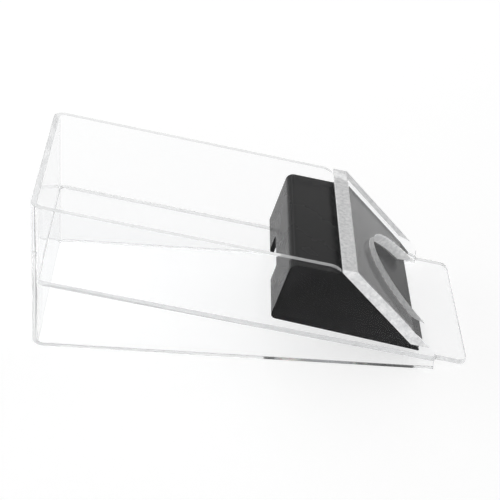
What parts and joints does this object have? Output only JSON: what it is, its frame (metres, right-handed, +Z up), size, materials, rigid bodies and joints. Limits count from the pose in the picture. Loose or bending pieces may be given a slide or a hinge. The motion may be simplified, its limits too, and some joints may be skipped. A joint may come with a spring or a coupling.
{
  "type": "card dealing shoe",
  "caption": "Clear open-topped card dealing shoe with a sloping floor, slanted face plate with finger opening, deal lip and a weighted rolling follower.",
  "frame": {"origin": "on the table, under the centre of the shoe's overall length and width", "axes": "+X towards the dealing lip, +Y across the shoe, +Z up"},
  "size_m": [0.213, 0.098, 0.0778],
  "materials": {
    "clear_acrylic": "polished clear sheet",
    "black_plastic": "satin moulded",
    "steel": "bright drawn",
    "nylon": "natural, turned",
    "spring_steel": "blackened"
  },
  "bodies": {
    "tray": {"tray_walls": "clear_acrylic", "floor_panel": "clear_acrylic", "face_plate": "clear_acrylic"},
    "follower": {"follower_shell": "black_plastic", "ballast_block": "steel", "ballast_screws": "steel"},
    "rear_rollers": {"rear_axle": "steel", "rear_roller_left": "nylon", "rear_roller_right": "nylon", "rear_axle_clips": "spring_steel"},
    "front_rollers": {"front_axle": "steel", "front_roller_left": "nylon", "front_roller_right": "nylon", "front_axle_clips": "spring_steel"}
  },
  "joints": [
    {"name": "follower_slide", "type": "slide", "parent": "tray", "child": "follower", "axis": [-0.9878, 0, 0.1556], "range_m": [0, 0.11]},
    {"name": "rear_rollers_spin", "type": "hinge", "parent": "follower", "child": "rear_rollers", "pos_m": [0.02304, 0, 0.02278], "axis": [0, 1, 0], "continuous": true},
    {"name": "front_rollers_spin", "type": "hinge", "parent": "follower", "child": "front_rollers", "pos_m": [0.05959, 0, 0.01702], "axis": [0, 1, 0], "continuous": true}
  ],
  "couplings": [
    {"joint": "rear_rollers_spin", "follows": "follower_slide", "rad_per_m": -166.67},
    {"joint": "front_rollers_spin", "follows": "follower_slide", "rad_per_m": -166.67}
  ]
}
